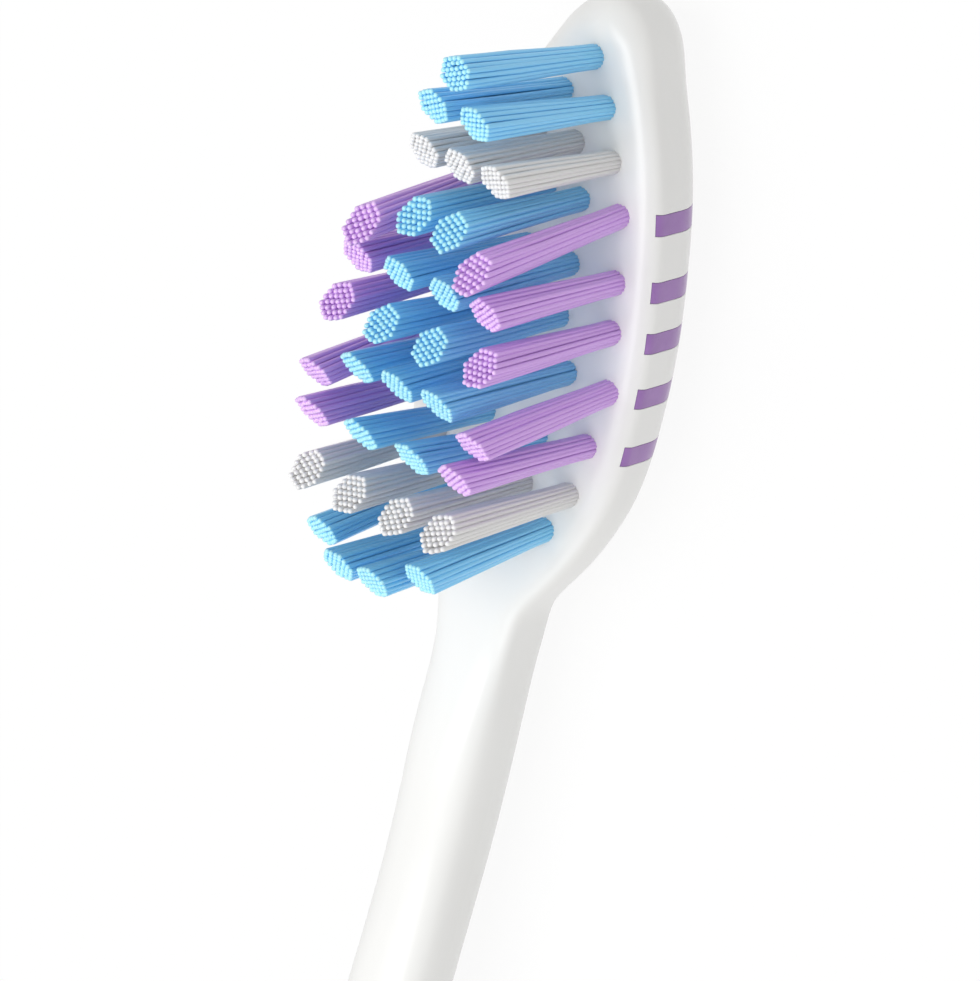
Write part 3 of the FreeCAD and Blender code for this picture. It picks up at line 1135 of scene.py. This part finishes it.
@dataclass
class Grip:
    """Soft grip of a stadium outline, let into the handle, in millimetres."""

    skin: Skin
    node: str
    place: float
    length: float
    width: float
    depth: float
    gap: float = 0.04
    overrun: float = 2.0
    outline_segments: int = 48
    groove_width: float = 0.9
    groove_depth: float = 0.45
    groove_pitch: float = 4.2

    def bars(self, run: float, low: float, high: float) -> bpy.types.Object:
        """Bars across the grip that cut its grooves.

        Args:
            run: length that the grooves are spread over.
            low: lowest height of the bars.
            high: highest height of the bars.

        Returns:
            The bars as one object.
        """
        bm = bmesh.new()
        count = int(run / self.groove_pitch) - 1
        for number in range(count):
            y = self.skin.along(self.place) + (number - (count - 1) / 2) * self.groove_pitch
            middle = Vector((0, y, (low + high) / 2))
            size = Vector((self.width * 2, self.groove_width, high - low))
            bmesh.ops.create_cube(bm, size=1.0, matrix=Matrix.LocRotScale(middle, None, size))
        return object_of(self.node + "_bars", bm)

    def prism(self, low: float, high: float, gap: float) -> bpy.types.Object:
        """Upright prism of the grip's outline.

        Args:
            low: its lowest height.
            high: its highest height.
            gap: how far the outline is widened.

        Returns:
            The prism.
        """
        bm = bmesh.new()
        radius = self.width / 2 + gap
        straight = (self.length - self.width) / 2
        bmesh.ops.create_circle(bm, cap_ends=False, segments=self.outline_segments, radius=radius)
        for vert in bm.verts:
            towards_tail = vert.co.y < -ON_PLANE
            vert.co.y += -straight if towards_tail else straight
            vert.co += Vector((0, self.skin.along(self.place), low))
        bmesh.ops.contextual_create(bm, geom=bm.edges[:])
        grown = bmesh.ops.extrude_face_region(bm, geom=bm.faces[:])["geom"]
        bmesh.ops.translate(bm, vec=(0, 0, high - low),
                            verts=[item for item in grown if isinstance(item, bmesh.types.BMVert)])
        bmesh.ops.recalc_face_normals(bm, faces=bm.faces)
        return object_of(self.node + "_prism", bm)


@dataclass
class ThumbGrip(Grip):
    """Raised pad for the thumb on the front of the handle, with a few grooves across it."""

    node: str = "thumb_grip"
    place: float = 104.0
    length: float = 30.0
    width: float = 8.4
    depth: float = 1.1
    rise: float = 0.3
    groove_run: float = 19.0

    def pillar(self, gap: float) -> bpy.types.Object:
        """Upright prism of the pad's outline, from the face's height to above the handle."""
        return self.prism(self.skin.face_height, self.skin.grip_high + self.overrun, gap)

    def pocket(self) -> bpy.types.Object:
        """Pocket of the pad in the handle."""
        core = object_of("thumb_core", self.skin.form(-self.depth - self.gap))
        return joined(self.pillar(self.gap), core, Joining.CUT)

    def build(self) -> None:
        """Build and dress the pad."""
        raised = object_of("thumb_raised", self.skin.form(self.rise))
        pad = joined(self.pillar(0.0), raised, Joining.KEEP_COMMON)
        core = object_of("thumb_core", self.skin.form(-self.depth))
        pad = joined(pad, core, Joining.CUT)
        bars = self.bars(self.groove_run, self.skin.face_height, self.skin.grip_high + self.overrun)
        groove_floor = object_of("groove_floor", self.skin.form(self.rise - self.groove_depth))
        pad = joined(pad, joined(bars, groove_floor, Joining.CUT), Joining.CUT)
        made = object_of("thumb_grip_pad", bmesh_of(pad))
        finished(made, SoftElastomer().material(), "purple_elastomer", self.node)


@dataclass
class PalmGrip(Grip):
    """Grooved pad let into the flat of the handle's back."""

    node: str = "palm_grip"
    place: float = 136.0
    length: float = 62.0
    width: float = 5.6
    depth: float = 1.2

    def pocket(self) -> bpy.types.Object:
        """Pocket of the pad in the handle."""
        return self.prism(-self.overrun, self.depth + self.gap, self.gap)

    def build(self) -> None:
        """Build and dress the pad."""
        bars = self.bars(self.length - self.width, -self.groove_depth, self.groove_depth)
        pad = joined(self.prism(0.0, self.depth, 0.0), bars, Joining.CUT)
        made = object_of("palm_grip_pad", bmesh_of(pad))
        finished(made, SoftElastomer().material(), "purple_elastomer", self.node)


@dataclass
class Moulding:
    """Head, neck and handle in one white piece, with its holes and pockets."""

    skin: Skin
    tufts: TuftField
    ribs: CleanerRibs
    thumb: ThumbGrip
    palm: PalmGrip

    def build(self) -> None:
        """Build and dress the moulding."""
        body = object_of("moulding_blank", self.skin.form())
        for tool in (self.tufts.hole_tools(), self.ribs.pockets(), self.thumb.pocket(),
                     self.palm.pocket()):
            body = joined(body, tool, Joining.CUT)
        made = object_of("moulding", bmesh_of(body))
        finished(made, MouldedPlastic().material(), "white_plastic", "handle_body")


@dataclass
class AnchorRows:
    """Flat wire plates that hold the folded tufts, hidden in their holes."""

    rows: int = 10

    def dress(self, nodes: dict[str, bpy.types.Object]) -> None:
        """Give the plates their metal.

        Args:
            nodes: the frame's CAD nodes.
        """
        material = FlatWire().material()
        for row in range(1, self.rows + 1):
            plate = nodes["anchors_row_%02d" % row]
            plate.data.materials.clear()
            plate.data.materials.append(material)
            LOG.info("%s: dressed", plate.name)


# Studio


@dataclass(frozen=True)
class Lamp:
    """Soft square lamp: direction from what it faces, distance and edge in metres, watts."""

    name: str
    towards: tuple[float, float, float]
    distance: float
    edge: float
    power: float

    def hang(self, aim: Vector) -> None:
        """Hang the lamp.

        Args:
            aim: point that it faces, in metres.
        """
        data = bpy.data.lights.new(self.name, "AREA")
        data.shape = "SQUARE"
        data.size = self.edge
        data.energy = self.power
        made = bpy.data.objects.new(self.name, data)
        direction = Vector(self.towards).normalized()
        made.location = aim + direction * self.distance
        made.rotation_euler = direction.to_track_quat("Z", "Y").to_euler()
        bpy.context.scene.collection.objects.link(made)


@dataclass
class Studio:
    """Camera, floor, backdrop and soft lamps, in metres."""

    camera_place: tuple[float, float, float] = (0.1471323, 0.1748230, 0.2380553)
    camera_turn: tuple[float, float, float] = (-0.2311721, 0.6356468, 0.2552151)
    lens: float = 208.4993
    sensor: float = 36.0
    nearest: float = 0.01
    farthest: float = 20.0
    floor_size: float = 6.0
    floor_drop: float = 0.0001
    floor_colour: Colour = (0.86, 0.86, 0.855)
    shadow_share: float = 0.08
    white: Colour = (1.0, 1.0, 1.0)
    world_colour: Colour = (1.0, 0.99, 0.98)
    world_strength: float = 0.39
    aim: tuple[float, float, float] = (0.0, 0.07, 0.012)
    lamps: tuple[Lamp, ...] = (Lamp("key", (0.0, 0.03, 1.0), 1.0, 0.80, 8.8),
                               Lamp("fill", (0.40, -0.75, 0.55), 1.0, 0.50, 1.5))

    def camera(self) -> None:
        """Set the camera at the photograph's place."""
        data = bpy.data.cameras.new("camera")
        data.lens = self.lens
        data.sensor_width = self.sensor
        data.clip_start = self.nearest
        data.clip_end = self.farthest
        made = bpy.data.objects.new("camera", data)
        made.location = self.camera_place
        made.rotation_euler = self.camera_turn
        bpy.context.scene.collection.objects.link(made)
        bpy.context.scene.camera = made

    def floor(self) -> None:
        """Lay the floor, which is seen as white but for a faint shadow."""
        bm = bmesh.new()
        bmesh.ops.create_grid(bm, x_segments=1, y_segments=1, size=self.floor_size / 2 / MM)
        made = object_of("floor", bm)
        made.data.transform(Matrix.Translation((0, 0, -self.floor_drop)))
        nodes = MaterialWiring("floor")
        diffuse = nodes.add("ShaderNodeBsdfDiffuse", Color=(*self.floor_colour, 1.0))
        white = nodes.add("ShaderNodeEmission", Color=(*self.white, 1.0), Strength=1.0)
        share = nodes.add("ShaderNodeMath", operation="MULTIPLY")
        nodes.link(nodes.seen_directly(), share.inputs[0])
        share.inputs[1].default_value = 1 - self.shadow_share
        mixed = nodes.mixed(share.outputs[0], diffuse, white)
        made.data.materials.append(nodes.surface(mixed))

    def world(self) -> None:
        """Surround the scene with soft light that is seen as white."""
        world = bpy.data.worlds.new("world")
        world.use_nodes = True
        nodes = Wiring(world.node_tree)
        soft = nodes.add("ShaderNodeBackground", Color=(*self.world_colour, 1.0),
                         Strength=self.world_strength)
        seen = nodes.add("ShaderNodeBackground", Color=(*self.white, 1.0), Strength=1.0)
        mixed = nodes.mixed(nodes.seen_directly(), soft, seen)
        output = nodes.add("ShaderNodeOutputWorld")
        nodes.link(mixed.outputs[0], output.inputs["Surface"])
        bpy.context.scene.world = world

    def build(self) -> None:
        """Set up the whole studio."""
        self.camera()
        self.floor()
        self.world()
        for lamp in self.lamps:
            lamp.hang(Vector(self.aim))
        bpy.context.scene.view_settings.view_transform = "Standard"


def main() -> None:
    """Build the brush piece by piece round the frame."""
    logging.basicConfig(level=logging.INFO, format="%(name)s %(message)s")
    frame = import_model()
    skin = Skin()
    tufts = TuftField(skin)
    ribs = CleanerRibs(skin)
    thumb = ThumbGrip(skin)
    palm = PalmGrip(skin)
    Moulding(skin, tufts, ribs, thumb, palm).build()
    ribs.build()
    thumb.build()
    palm.build()
    tufts.build()
    AnchorRows().dress(frame["nodes"])
    Studio().build()
    bpy.context.view_layer.update()


if __name__ == "__main__":
    main()
